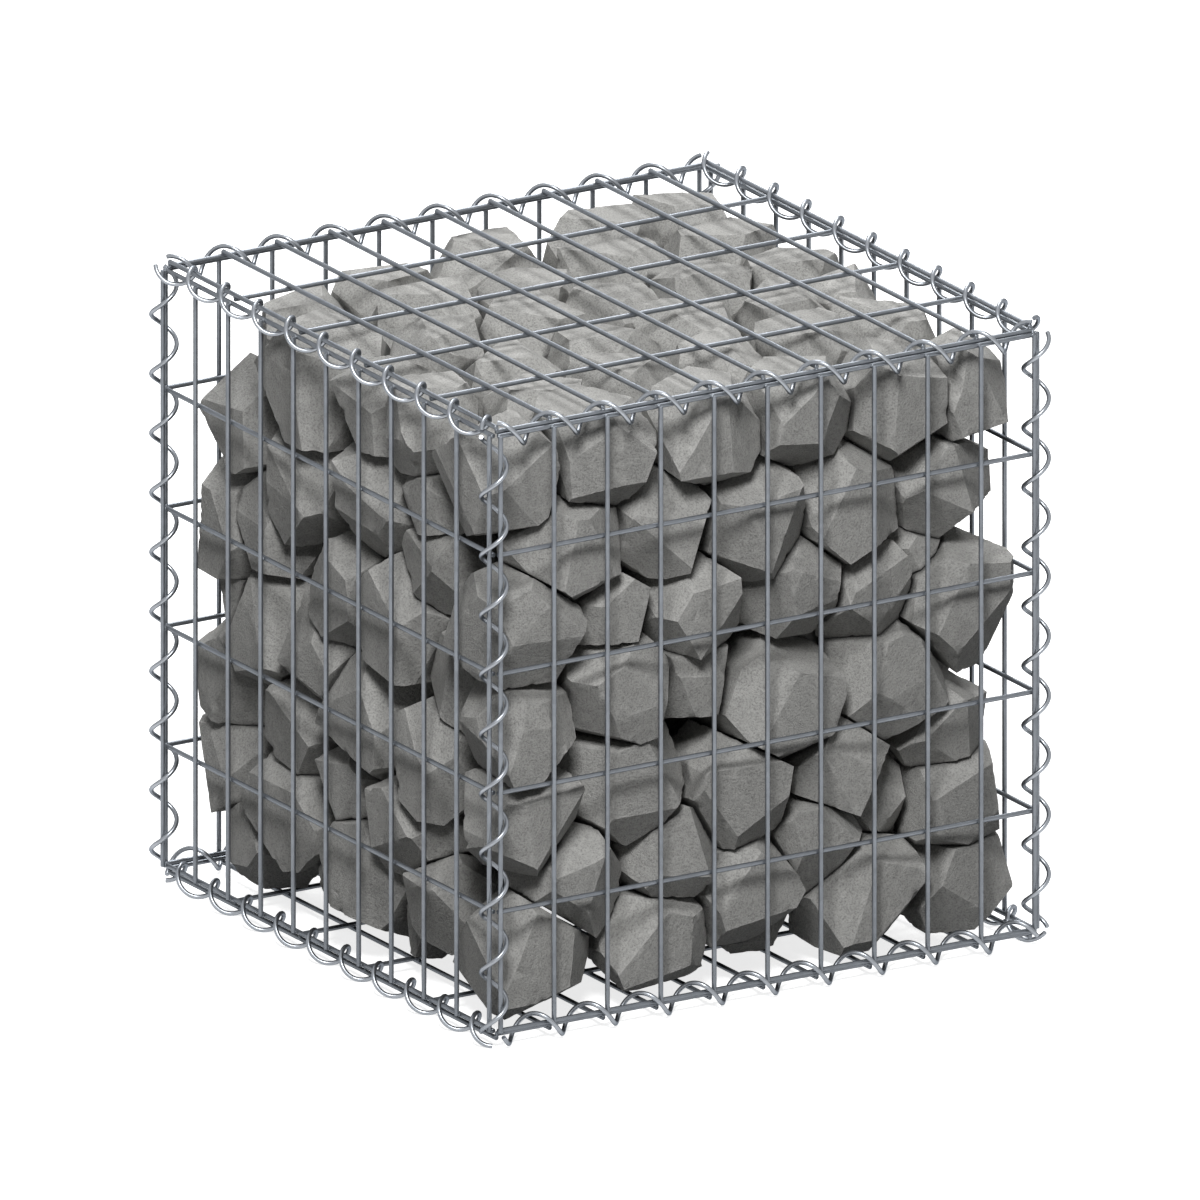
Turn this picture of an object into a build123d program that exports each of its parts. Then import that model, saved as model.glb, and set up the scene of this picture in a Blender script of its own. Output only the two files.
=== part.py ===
from build123d import *
from itertools import combinations
from math import acos, cos, pi, sin, sqrt
from random import Random
import numpy as np
import os

# A gabion: a cube basket of six welded mesh panels, laced along its twelve edges with
# spiral wires and filled with broken stone. Millimetres, +Z up, and the front is -Y.

# Driving dimensions of the basket, measured between the outermost wires of each panel.
width = 500.0
depth = 500.0
height = 500.0
fine_pitch = 50.0
wide_pitch = 100.0
wire = 4.0
weld_sink = 0.4
wire_overhang = 0.7
panel_step = 3.0
sides_of_wire = 8

# The spiral wires that lace the edges.
spiral_wire = 3.5
spiral_diameter = 24.4
spiral_pitch = 50.0
bends_per_turn = 8
sides_of_spiral = 5
lowest_offset = 2.6

# The stone filling. Each stone is a lump cut flat on all sides. It bears on its nearest
# neighbours at flat spots, and the stones are named by courses, from the bottom up.
courses = 6
stone_gap = 0.4
mesh_room = 5.0
spiral_room = 12.7
stone_seed = 23
cuts_per_stone = 12
cut_depths = (0.86, 1.0)
cut_tilt_shake = 0.2
cut_turn_shake = 0.25
laid_depth = 0.93
bearings_per_stone = 4
bearing_spot = 6.0
filler_sizes = (78.0, 100.0)
filler_throws = 6000
closest_fillers = 0.8
# How far a stone looks for neighbours, and how far off a wall may be and still cut it.
sight = 2 * max(filler_sizes)
wall_reach = 1.6
near_zero = 0.001
near_parallel = 0.02

# The stones that show on the front, the left side and the top, laid by hand. Each has
# its place on that face from the face's middle, its size, and how far it is set back.
# The places are for a room of drawn_room each way, and stretch with the basket.
drawn_room = 490.0
front_stones = (
    (-203, 190, 96, 14), (-135, 205, 98, 0), (-30, 203, 90, 2), (58, 203, 88, 2), (149, 198, 92, 0),
    (207, 197, 84, 2), (-160, 128, 96, 4), (-68, 132, 90, 8), (12, 122, 104, 0), (98, 118, 98, 2),
    (187, 122, 92, 4), (-201, 68, 100, 0), (-118, 70, 68, 14), (-40, 60, 92, 4), (54, 64, 88, 4),
    (118, 46, 86, 8), (168, 68, 62, 26), (200, 24, 106, 0), (-202, -16, 86, 0), (-115, 3, 94, 0),
    (-42, 4, 74, 14), (35, -34, 110, 0), (138, -32, 110, 0), (194, -80, 80, 12), (-202, -92, 84, 2),
    (-100, -76, 106, 4), (-3, -98, 102, 0), (94, -92, 88, 4), (130, -136, 78, 28), (202, -142, 94, 2),
    (-158, -146, 88, 2), (-66, -140, 88, 4), (70, -152, 80, 8), (3, -182, 98, 2), (-197, -203, 98, 0),
    (-76, -208, 86, 2), (26, -218, 60, 42), (116, -203, 102, 0), (202, -203, 96, 2),
)
left_stones = (
    (-82, 200, 80, 2), (-13, 198, 80, 4), (92, 188, 108, 0), (188, 136, 92, 6), (92, 108, 98, 0),
    (-12, 122, 98, 4), (-92, 142, 66, 14), (198, 42, 94, 2), (146, 60, 86, 6), (26, 34, 90, 4),
    (-52, 38, 104, 0), (-98, 90, 76, 12), (200, -8, 64, 16), (142, -28, 102, 0), (60, -28, 90, 4),
    (-10, -58, 108, 0), (-96, -66, 98, 0), (200, -80, 94, 0), (99, -93, 96, 4), (200, -152, 90, 4),
    (112, -168, 102, 0), (22, -126, 76, 10), (-72, -130, 92, 2), (8, -190, 110, 0), (-104, -184, 78, 6),
    (164, -208, 84, 6), (66, -216, 58, 30), (-56, -220, 52, 34),
)
top_stones = (
    (-157, 188, 86, 16), (-87, 200, 86, 6), (20, 203, 98, 0), (130, 203, 98, 0), (206, 204, 82, 2),
    (-80, 122, 96, 0), (10, 118, 92, 4), (98, 128, 90, 2), (186, 128, 88, 0), (-128, 38, 90, 4),
    (-42, 46, 92, 0), (44, 44, 88, 4), (124, 52, 88, 2), (206, 52, 82, 4), (-112, -48, 92, 0),
    (-22, -38, 92, 4), (66, -32, 90, 0), (148, -34, 86, 2), (212, -20, 68, 6), (-140, -124, 86, 2),
    (-52, -122, 92, 0), (38, -118, 90, 2), (124, -112, 90, 0), (204, -104, 84, 2),
)

# Worked out from the values above. Each panel has its wide-pitch wires inside and its
# fine-pitch wires outside, welded where they cross.
wide_layer = panel_step
fine_layer = panel_step + wire - weld_sink
spiral_radius = (spiral_diameter - spiral_wire) / 2
spiral_reach = spiral_diameter / 2
# The bottom edges' spirals are the lowest things on the basket, so they set its foot.
foot = lowest_offset + spiral_reach
middle_z = foot + height / 2


def bays(length, pitch):
    """How many whole mesh bays of about this pitch a length has."""
    return max(1, round(length / pitch))


def mesh_panel(place, across, up):
    """One welded panel in its own plane, with z pointing out of the basket."""
    fine_bays = bays(across, fine_pitch)
    wide_bays = bays(up, wide_pitch)
    fine_start = (0, -up / 2 - wire_overhang, fine_layer)
    wide_start = (-across / 2 - wire_overhang, 0, wide_layer)
    # Half a side's turn lays flat sides against each other where the wires cross.
    flat_turn = 180 / sides_of_wire
    with BuildPart() as mesh:
        # The fine wires run up the panel.
        with BuildSketch(Plane(fine_start, x_dir=(1, 0, 0), z_dir=(0, 1, 0))):
            with GridLocations(across / fine_bays, wire, fine_bays + 1, 1):
                RegularPolygon(wire / 2, sides_of_wire, major_radius=False, rotation=flat_turn)
        extrude(amount=up + 2 * wire_overhang)
        # The wide wires run across it, behind the fine ones.
        with BuildSketch(Plane(wide_start, x_dir=(0, 1, 0), z_dir=(1, 0, 0))):
            with GridLocations(up / wide_bays, wire, wide_bays + 1, 1):
                RegularPolygon(wire / 2, sides_of_wire, major_radius=False, rotation=flat_turn)
        extrude(amount=across + 2 * wire_overhang)
    return mesh.part.moved(place.location)


def lacing_spiral(axis_start, run, start_angle, length):
    """A right-handed spiral that starts at axis_start and winds along run."""
    turns = max(1, round(length / spiral_pitch))
    bends = turns * bends_per_turn
    turned = [2 * pi * index / bends_per_turn for index in range(bends + 1)]
    with BuildPart() as coil:
        with BuildLine() as centre:
            Polyline(*[(spiral_radius * cos(angle), spiral_radius * sin(angle),
                        length * index / bends) for index, angle in enumerate(turned)])
        with BuildSketch(Plane(origin=centre.line @ 0, z_dir=centre.line % 0)):
            RegularPolygon(spiral_wire / 2, sides_of_spiral)
        sweep(transition=Transition.RIGHT)
    side = {"x": (0, 1, 0), "y": (0, 0, 1), "z": (1, 0, 0)}[run]
    along = {"x": (1, 0, 0), "y": (0, 1, 0), "z": (0, 0, 1)}[run]
    place = Plane(axis_start, x_dir=side, z_dir=along)
    return coil.part.moved(place.location * Rotation(0, 0, start_angle))


def stone_sites(dice):
    """Every stone's middle, radius and outward side: hand-laid ones, then fillers as they fall."""
    stretch = Vector(room_x / drawn_room, room_y / drawn_room, room_z / drawn_room)
    grown = min(stretch.X, stretch.Y, stretch.Z)
    middle = Vector(0, 0, middle_z)
    sites = []
    front, left, top = Vector(0, -1, 0), Vector(-1, 0, 0), Vector(0, 0, 1)
    for side, laid in ((front, front_stones), (left, left_stones), (top, top_stones)):
        for across, up, size, set_back in laid:
            radius = grown * size / 2
            reach = laid_depth * radius + set_back
            if side.Y:
                spot = Vector(across * stretch.X, reach - room_y / 2, up * stretch.Z + middle_z)
            elif side.X:
                spot = Vector(reach - room_x / 2, across * stretch.Y, up * stretch.Z + middle_z)
            else:
                spot = Vector(across * stretch.X, up * stretch.Y, room_floor + room_z - reach)
            sites.append((spot, radius, side))
    for _ in range(filler_throws):
        radius = grown * dice.uniform(*filler_sizes) / 2
        x = dice.uniform(-1, 1) * (room_x / 2 - radius)
        y = dice.uniform(-1, 1) * (room_y / 2 - radius)
        z = room_floor + radius + dice.uniform(0, 1) * (room_z - 2 * radius)
        spot = Vector(x, y, z)
        if all((spot - other).length > closest_fillers * (radius + size) for other, size, _ in sites):
            sites.append((spot, radius, (spot - middle).normalized()))
    return sites


def cut_directions(dice, first, count):
    """Directions spread evenly over a ball and shaken a little, the first of them about first."""
    # Any direction that first never has gives two more at right angles to it.
    skew = Vector(0.3, 0.5, 0.8)
    side = first.cross(skew).normalized()
    other = first.cross(side)
    golden_angle = pi * (3 - sqrt(5))
    turn = dice.uniform(0, 2 * pi)
    directions = []
    for index in range(count):
        tilt = acos(1 - 2 * index / (count - 1)) + dice.uniform(-cut_tilt_shake, cut_tilt_shake)
        heading = turn + index * golden_angle + dice.uniform(-cut_turn_shake, cut_turn_shake)
        aside = side * cos(heading) + other * sin(heading)
        directions.append(first * cos(tilt) + aside * sin(tilt))
    return directions


def share_of_gap(site, other):
    """How far from one stone's middle the wall towards another stands. A larger stone takes more."""
    apart = (other[0] - site[0]).length
    return (apart**2 + site[1] ** 2 - other[1] ** 2) / (2 * apart)


def bearing_pairs(sites, near):
    """The pairs of stones that bear on each other: those close together with nothing between."""
    pairs = set()
    for index, site in enumerate(sites):
        wanted = []
        for number in near[index]:
            away = sites[number][0] - site[0]
            touch = site[0] + away.normalized() * share_of_gap(site, sites[number])
            margin = (touch - site[0]).length ** 2 - site[1] ** 2
            if all((touch - sites[third][0]).length ** 2 - sites[third][1] ** 2 > margin - near_zero
                   for third in near[index] if third != number):
                wanted.append((away.length / (site[1] + sites[number][1]), number))
        pairs |= {frozenset((index, number)) for _, number in sorted(wanted)[:bearings_per_stone]}
    return pairs


def corners_inside(walls):
    """The corners of the solid inside every wall. A wall is a direction and a distance."""
    facing = np.array([tuple(out) for out, _ in walls])
    distance = np.array([far for _, far in walls])
    trios = np.array(list(combinations(range(len(walls)), 3)))
    trios = trios[abs(np.linalg.det(facing[trios])) > near_parallel]
    points = np.linalg.solve(facing[trios], distance[trios][..., None])[..., 0]
    return points[(points @ facing.T <= distance + near_zero).all(axis=1)]


def cut_stone(index, sites, near, pairs, dice):
    """One stone: its own flat cuts, held back by its neighbours' walls and by the room's."""
    spot, radius, side = sites[index]
    walls = [(Vector(sign, 0, 0), room_x / 2 - sign * spot.X) for sign in (-1, 1)]
    walls += [(Vector(0, sign, 0), room_y / 2 - sign * spot.Y) for sign in (-1, 1)]
    walls += [(Vector(0, 0, 1), room_floor + room_z - spot.Z), (Vector(0, 0, -1), spot.Z - room_floor)]
    low = spot - Vector(0, 0, middle_z)
    for first, second, out in edge_sides:
        # Along the edges the stones stay clear of the spirals.
        walls.append((out, (first + second) / sqrt(2) - spiral_room - low.dot(out)))
    bearings = []
    for number in near[index]:
        share = share_of_gap(sites[index], sites[number])
        wall = ((sites[number][0] - spot).normalized(), share - stone_gap / 2)
        walls.append(wall)
        if frozenset((index, number)) in pairs:
            bearings.append(wall)
    walls = [(out, far) for out, far in walls if far < wall_reach * radius]
    for out in cut_directions(dice, side, cuts_per_stone):
        far = radius * dice.uniform(*cut_depths)
        for bearing, reach in bearings:
            # A cut leaves the flat spots on which the stone bears.
            slant = out.dot(bearing)
            far = max(far, reach * slant + bearing_spot * sqrt(max(0, 1 - slant**2)))
        walls.append((out, far))
    with BuildPart() as stone:
        ConvexPolyhedron([spot + Vector(*corner) for corner in corners_inside(walls)])
    return stone.part


# The room that the stones fill: it starts on the base panel, and its edges are cut off
# at a slant to leave room for the spirals.
room_x = width - 2 * mesh_room
room_y = depth - 2 * mesh_room
room_floor = middle_z - height / 2 - (wide_layer - wire / 2 - stone_gap / 2)
room_z = middle_z + height / 2 - mesh_room - room_floor
signs = [(one, two) for one in (-1, 1) for two in (-1, 1)]
edge_sides = [(width / 2, depth / 2, Vector(one, two, 0).normalized()) for one, two in signs]
edge_sides += [(width / 2, height / 2, Vector(one, 0, two).normalized()) for one, two in signs]
edge_sides += [(depth / 2, height / 2, Vector(0, one, two).normalized()) for one, two in signs]

os.makedirs("parts", exist_ok=True)

# The six panels: each is placed by its outer side.
panel_places = {
    "front_panel": (Plane((0, -depth / 2, middle_z), x_dir=(1, 0, 0), z_dir=(0, -1, 0)), width, height),
    "back_panel": (Plane((0, depth / 2, middle_z), x_dir=(-1, 0, 0), z_dir=(0, 1, 0)), width, height),
    "left_panel": (Plane((-width / 2, 0, middle_z), x_dir=(0, -1, 0), z_dir=(-1, 0, 0)), depth, height),
    "right_panel": (Plane((width / 2, 0, middle_z), x_dir=(0, 1, 0), z_dir=(1, 0, 0)), depth, height),
    "base_panel": (Plane((0, 0, middle_z - height / 2), x_dir=(1, 0, 0), z_dir=(0, 0, -1)), width, depth),
    "lid_panel": (Plane((0, 0, middle_z + height / 2), x_dir=(1, 0, 0), z_dir=(0, 0, 1)), width, depth),
}
for panel_name, (panel_place, panel_across, panel_up) in panel_places.items():
    with BuildPart() as panel:
        add(mesh_panel(panel_place, panel_across, panel_up))
    panel.part.label = panel_name
    export_step(panel.part, f"parts/{panel_name}.step")

# The twelve spirals. Each entry has the direction it runs in, the side of the basket it
# is on in the next two directions, how far its axis stands off the edge in each, and
# the angle its wire starts at.
edges = {
    "front_top_spiral": ("x", (-1, 1), (2.2, 0.8), 90),
    "back_top_spiral": ("x", (1, 1), (0.4, 0.4), 66),
    "front_bottom_spiral": ("x", (-1, -1), (0.7, 2.2), 184),
    "back_bottom_spiral": ("x", (1, -1), (0.4, 0.4), 295),
    "left_top_spiral": ("y", (1, -1), (2.7, 3.9), 290),
    "right_top_spiral": ("y", (1, 1), (2.5, 4.1), 358),
    "left_bottom_spiral": ("y", (-1, -1), (2.5, 4.1), 179),
    "right_bottom_spiral": ("y", (-1, 1), (2.7, 3.9), 105),
    "front_left_spiral": ("z", (-1, -1), (3.9, 2.7), 149),
    "front_right_spiral": ("z", (1, -1), (4.1, 2.5), 357),
    "back_left_spiral": ("z", (-1, 1), (3.9, 2.7), 58),
    "back_right_spiral": ("z", (1, 1), (4.2, 2.4), 0),
}
for spiral_name, (run, sides, offsets, start_angle) in edges.items():
    corner_x, corner_y, corner_z = width / 2, depth / 2, height / 2
    if run == "x":
        axis_z = middle_z + sides[1] * (corner_z + offsets[1])
        start = (-corner_x, sides[0] * (corner_y + offsets[0]), axis_z)
        length = width
    elif run == "y":
        axis_z = middle_z + sides[0] * (corner_z + offsets[0])
        start = (sides[1] * (corner_x + offsets[1]), -corner_y, axis_z)
        length = depth
    else:
        start = (sides[0] * (corner_x + offsets[0]), sides[1] * (corner_y + offsets[1]), middle_z - corner_z)
        length = height
    with BuildPart() as spiral:
        add(lacing_spiral(start, run, start_angle, length))
    spiral.part.label = spiral_name
    export_step(spiral.part, f"parts/{spiral_name}.step")

# The stones, one node a course.
stone_dice = Random(stone_seed)
all_sites = stone_sites(stone_dice)
near_stones = [[number for number, other in enumerate(all_sites) if 0 < (other[0] - site[0]).length < sight]
               for site in all_sites]
all_pairs = bearing_pairs(all_sites, near_stones)
levels = [min(courses - 1, int((spot.Z - room_floor) / room_z * courses)) for spot, _, _ in all_sites]
for course in range(courses):
    with BuildPart() as stone_course:
        add([cut_stone(index, all_sites, near_stones, all_pairs, stone_dice)
             for index, level in enumerate(levels) if level == course])
    stone_course.part.label = f"stone_course_{course + 1}"
    export_step(stone_course.part, f"parts/stone_course_{course + 1}.step")
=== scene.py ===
# %% [markdown]
# # A wire basket filled with broken stone
# A gabion is a cage of welded steel mesh, laced along its edges with spiral wires and
# packed with stone. Baskets like this one are stacked to make walls.
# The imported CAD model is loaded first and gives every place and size. This lesson then
# makes each piece again with the detail that the eye expects: round wires with welded
# crossings, smooth spirals, and stones with rough faces and chipped edges.

import math
from random import Random

import bmesh
import bpy
import numpy as np
from mathutils import Matrix, Vector
from mathutils.bvhtree import BVHTree
from mathutils.geometry import delaunay_2d_cdt


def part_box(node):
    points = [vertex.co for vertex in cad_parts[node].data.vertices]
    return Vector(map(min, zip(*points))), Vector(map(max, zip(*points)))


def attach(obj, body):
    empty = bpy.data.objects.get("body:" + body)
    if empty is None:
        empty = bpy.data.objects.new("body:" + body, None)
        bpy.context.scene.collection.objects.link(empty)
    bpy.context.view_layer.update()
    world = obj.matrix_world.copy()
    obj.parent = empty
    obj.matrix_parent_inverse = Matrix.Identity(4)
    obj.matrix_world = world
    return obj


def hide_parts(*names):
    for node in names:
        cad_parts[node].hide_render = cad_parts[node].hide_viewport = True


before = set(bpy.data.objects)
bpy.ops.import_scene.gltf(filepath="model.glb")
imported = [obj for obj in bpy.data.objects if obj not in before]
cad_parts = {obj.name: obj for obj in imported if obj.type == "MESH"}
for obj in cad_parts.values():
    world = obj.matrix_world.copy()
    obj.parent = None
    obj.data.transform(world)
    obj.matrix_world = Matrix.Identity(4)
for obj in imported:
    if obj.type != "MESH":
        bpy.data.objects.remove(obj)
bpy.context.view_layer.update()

# %% [markdown]
# ## Where the basket is
# All places are worked out from the basket's own sizes, in metres. The mesh cube is
# 0.5 m between its outermost wires. Its middle isn't the middle of the CAD box, because
# the spirals stand out by different amounts below and above, so it is taken from the
# base panel and the lid panel.

# %% The basket's own sizes
mm = 0.001
side = 0.5
half_side = side / 2
middle_z = (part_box("base_panel")[0].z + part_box("lid_panel")[1].z) / 2
middle = Vector((0, 0, middle_z))
print("middle of the basket at", round(middle_z, 4), "m above the floor")

# %% [markdown]
# ## The camera
# The photograph has no perspective: wires that are parallel on the basket are parallel
# in the picture. An orthographic camera does the same. Its direction is a turn round
# the basket and a climb above the horizon.

# %% Point an orthographic camera at the basket
turn = math.radians(-31.45)
climb = math.radians(18.09)
picture_width = 0.9589
aim_drop = 0.64 * mm
camera_distance = 2.0
toward_camera = Vector((
    math.sin(turn) * math.cos(climb),
    -math.cos(turn) * math.cos(climb),
    math.sin(climb),
))
to_the_right = Vector((math.cos(turn), math.sin(turn), 0))
picture_up = toward_camera.cross(to_the_right)

camera = bpy.data.objects.new("camera", bpy.data.cameras.new("camera"))
camera.data.type = "ORTHO"
camera.data.ortho_scale = picture_width
camera.location = middle - picture_up * aim_drop + toward_camera * camera_distance
camera.rotation_mode = "QUATERNION"
camera_axes = Matrix((to_the_right, picture_up, toward_camera)).transposed()
camera.rotation_quaternion = camera_axes.to_quaternion()
bpy.context.scene.collection.objects.link(camera)
bpy.context.scene.camera = camera
print("camera sees", picture_width, "m across")

# %% [markdown]
# ## Small helpers for node trees
# Geometry Nodes and materials are both made of nodes and links. These helpers keep the
# cells below short: one adds a node, one plugs a value or another node's socket into an
# input, and others add a maths node, a vector, or a new tree with named inputs.

# %% Helpers that add and join nodes
def add_node(tree, kind, **settings):
    node = tree.nodes.new(kind)
    for name, value in settings.items():
        setattr(node, name, value)
    return node


def plug(tree, socket, value):
    if isinstance(value, bpy.types.NodeSocket):
        tree.links.new(value, socket)
    elif value is not None:
        socket.default_value = value


def maths(tree, operation, first, second=None, third=None, clamp=False):
    node = add_node(tree, "ShaderNodeMath", operation=operation, use_clamp=clamp)
    for socket, value in zip(node.inputs, (first, second, third)):
        plug(tree, socket, value)
    return node.outputs[0]


def vector_of(tree, x, y, z):
    node = add_node(tree, "ShaderNodeCombineXYZ")
    for socket, value in zip(node.inputs, (x, y, z)):
        plug(tree, socket, value)
    return node.outputs[0]


def new_tree(name, kind, inputs, outputs):
    tree = bpy.data.node_groups.new(name, kind)
    for in_out, wanted in (("INPUT", inputs), ("OUTPUT", outputs)):
        for label, (socket_kind, value) in wanted.items():
            item = tree.interface.new_socket(name=label, in_out=in_out, socket_type=socket_kind)
            if value is not None:
                item.default_value = value
    return tree, add_node(tree, "NodeGroupInput").outputs, add_node(tree, "NodeGroupOutput").inputs


print("node helpers ready")

# %% [markdown]
# ## From a node tree to a plain mesh
# A modifier keeps its shape only while it is live, and the export wants plain meshes.
# So a tree is run once on a worker object, the result is copied to a new mesh, and the
# worker is thrown away. The place on the basket goes into the mesh, so that the
# finished object sits at the origin.

# %% Helper that runs a tree and keeps its mesh
def run_tree(tree, values, name, place=Matrix.Identity(4), start_mesh=None):
    worker = bpy.data.objects.new(name + "_worker", start_mesh or bpy.data.meshes.new(name + "_start"))
    bpy.context.scene.collection.objects.link(worker)
    modifier = worker.modifiers.new("tree", "NODES")
    modifier.node_group = tree
    for item in tree.interface.items_tree:
        if item.in_out == "INPUT" and item.name in values:
            modifier[item.identifier] = values[item.name]
    evaluated = worker.evaluated_get(bpy.context.evaluated_depsgraph_get())
    mesh = bpy.data.meshes.new_from_object(evaluated)
    bpy.data.objects.remove(worker)
    mesh.transform(place)
    mesh.name = name
    piece = bpy.data.objects.new(name, mesh)
    bpy.context.scene.collection.objects.link(piece)
    return piece


def dress(piece, node_name):
    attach(piece, "root")
    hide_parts(node_name)
    triangles = sum(len(face.vertices) - 2 for face in piece.data.polygons)
    print(piece.name, "has", triangles, "triangles")


print("worker helper ready")

# %% [markdown]
# ## Zinc on steel wire
# Galvanised wire is drawn steel with a thin coat of zinc. New zinc is a cool blue grey,
# with a soft sheen, faint crystals a few millimetres across, and duller patches where
# it has begun to weather. A single grey would look like plastic on so thin a wire. The
# coat is one shader group, so that the mesh wire and the spiral wire can share it with
# their own values.

# %% Build the zinc coat group
zinc, z_in, z_out = new_tree("zinc coat", "ShaderNodeTree", {
    "Bright Zinc": ("NodeSocketColor", (0.5, 0.5, 0.5, 1)),
    "Dull Zinc": ("NodeSocketColor", (0.3, 0.3, 0.3, 1)),
    "Crystals A Metre": ("NodeSocketFloat", 250.0),
    "Smoothest": ("NodeSocketFloat", 0.3),
    "Roughest": ("NodeSocketFloat", 0.5),
}, {
    "Base Color": ("NodeSocketColor", None),
    "Roughness": ("NodeSocketFloat", None),
    "Bump Height": ("NodeSocketFloat", None),
})
here = add_node(zinc, "ShaderNodeTexCoord").outputs["Object"]
crystals = add_node(zinc, "ShaderNodeTexVoronoi")
plug(zinc, crystals.inputs["Vector"], here)
plug(zinc, crystals.inputs["Scale"], z_in["Crystals A Metre"])
crystal_tone = add_node(zinc, "ShaderNodeSeparateColor")
plug(zinc, crystal_tone.inputs[0], crystals.outputs["Color"])
print("zinc coat group started with", len(zinc.nodes), "nodes")

# %% [markdown]
# Noise gives the weathered patches and a fine grit. A noise is mostly near its middle
# value, so a helper steepens it to get clear patches. Both the patches and the crystals
# decide how dull a spot is, and the dullness sets the colour and the roughness.

# %% Mix the zinc's colour, roughness and height
def add_noise(tree, vector, scale, detail=2.0, roughness=0.5, distortion=0.0):
    noise = add_node(tree, "ShaderNodeTexNoise")
    for socket, value in (("Vector", vector), ("Scale", scale), ("Detail", detail),
                          ("Roughness", roughness), ("Distortion", distortion)):
        plug(tree, noise.inputs[socket], value)
    return noise.outputs["Fac"]


def contrast(tree, value, gain, offset):
    """Steepens a noise and holds it between 0 and 1."""
    return maths(tree, "MULTIPLY_ADD", value, gain, offset, clamp=True)


def mix_colour(tree, share, first, second):
    node = add_node(tree, "ShaderNodeMix", data_type="RGBA")
    for socket, value in zip((node.inputs[0], node.inputs[6], node.inputs[7]), (share, first, second)):
        plug(tree, socket, value)
    return node.outputs[2]


patches_a_metre = 38.0
grit_a_metre = 1500.0
crystal_share = 0.35
patches = add_noise(zinc, here, patches_a_metre, detail=5.0, roughness=0.6)
grit = add_noise(zinc, here, grit_a_metre)
weathered = maths(zinc, "MULTIPLY", contrast(zinc, patches, 2.6, -0.8), 1 - crystal_share)
dullness = maths(zinc, "MULTIPLY_ADD", crystal_tone.outputs[0], crystal_share, weathered)
plug(zinc, z_out["Base Color"], mix_colour(zinc, dullness, z_in["Bright Zinc"], z_in["Dull Zinc"]))
spread = maths(zinc, "SUBTRACT", z_in["Roughest"], z_in["Smoothest"])
plug(zinc, z_out["Roughness"], maths(zinc, "MULTIPLY_ADD", dullness, spread, z_in["Smoothest"]))
swells = maths(zinc, "MULTIPLY", patches, 2.0)
plug(zinc, z_out["Bump Height"], maths(zinc, "MULTIPLY_ADD", grit, 0.5, swells))
print("zinc coat group has", len(zinc.nodes), "nodes")

# %% [markdown]
# A material is a Principled shader with the group in front of it. The mesh wire is a
# little duller and darker than the spirals. Both are darker at a glancing angle, which
# gives a thin wire its dark outline.

# %% Make a material round a group
def make_material(name, group, values, bump_distance, shader_values):
    material = bpy.data.materials.new(name)
    material.use_nodes = True
    tree = material.node_tree
    shader = tree.nodes["Principled BSDF"]
    surface = add_node(tree, "ShaderNodeGroup", node_tree=group)
    for label, value in values.items():
        surface.inputs[label].default_value = value
    bump = add_node(tree, "ShaderNodeBump")
    bump.inputs["Distance"].default_value = bump_distance
    plug(tree, bump.inputs["Height"], surface.outputs["Bump Height"])
    plug(tree, shader.inputs["Base Color"], surface.outputs["Base Color"])
    plug(tree, shader.inputs["Roughness"], surface.outputs["Roughness"])
    plug(tree, shader.inputs["Normal"], bump.outputs[0])
    for label, value in shader_values.items():
        shader.inputs[label].default_value = value
    return material


mesh_bump = 0.008 * mm
mesh_zinc = make_material("galvanised mesh wire", zinc, {
    "Bright Zinc": (0.217, 0.234, 0.257, 1), "Dull Zinc": (0.158, 0.170, 0.187, 1),
    "Crystals A Metre": 250.0, "Smoothest": 0.28, "Roughest": 0.36,
}, mesh_bump, {"Metallic": 0.6, "Specular Tint": (0.38, 0.41, 0.45, 1)})
spiral_bump = 0.0015 * mm
spiral_zinc = make_material("galvanised spiral wire", zinc, {
    "Bright Zinc": (0.31, 0.328, 0.354, 1), "Dull Zinc": (0.24, 0.255, 0.276, 1),
    "Crystals A Metre": 330.0, "Smoothest": 0.31, "Roughest": 0.34,
}, spiral_bump, {"Metallic": 0.92, "Specular Tint": (0.30, 0.32, 0.35, 1)})
print("wire materials:", mesh_zinc.name, "and", spiral_zinc.name)

# %% [markdown]
# ## A welded mesh panel
# A panel is two layers of straight wire: the fine layer outside, 50 mm apart, and the
# wide layer inside, 100 mm apart. A machine presses the layers together and passes a
# current through every crossing, which sinks one wire a little into the other and
# squeezes out a small bead. What repeats is instanced in Geometry Nodes: a row of wires
# each way, and one bead on each crossing. The sheared ends get a narrow bevel.

# %% Add one row of wires to a tree
end_bevel = 0.5 * mm
end_narrowing = 0.22
wire_sides = 16
points_along = 4


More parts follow.
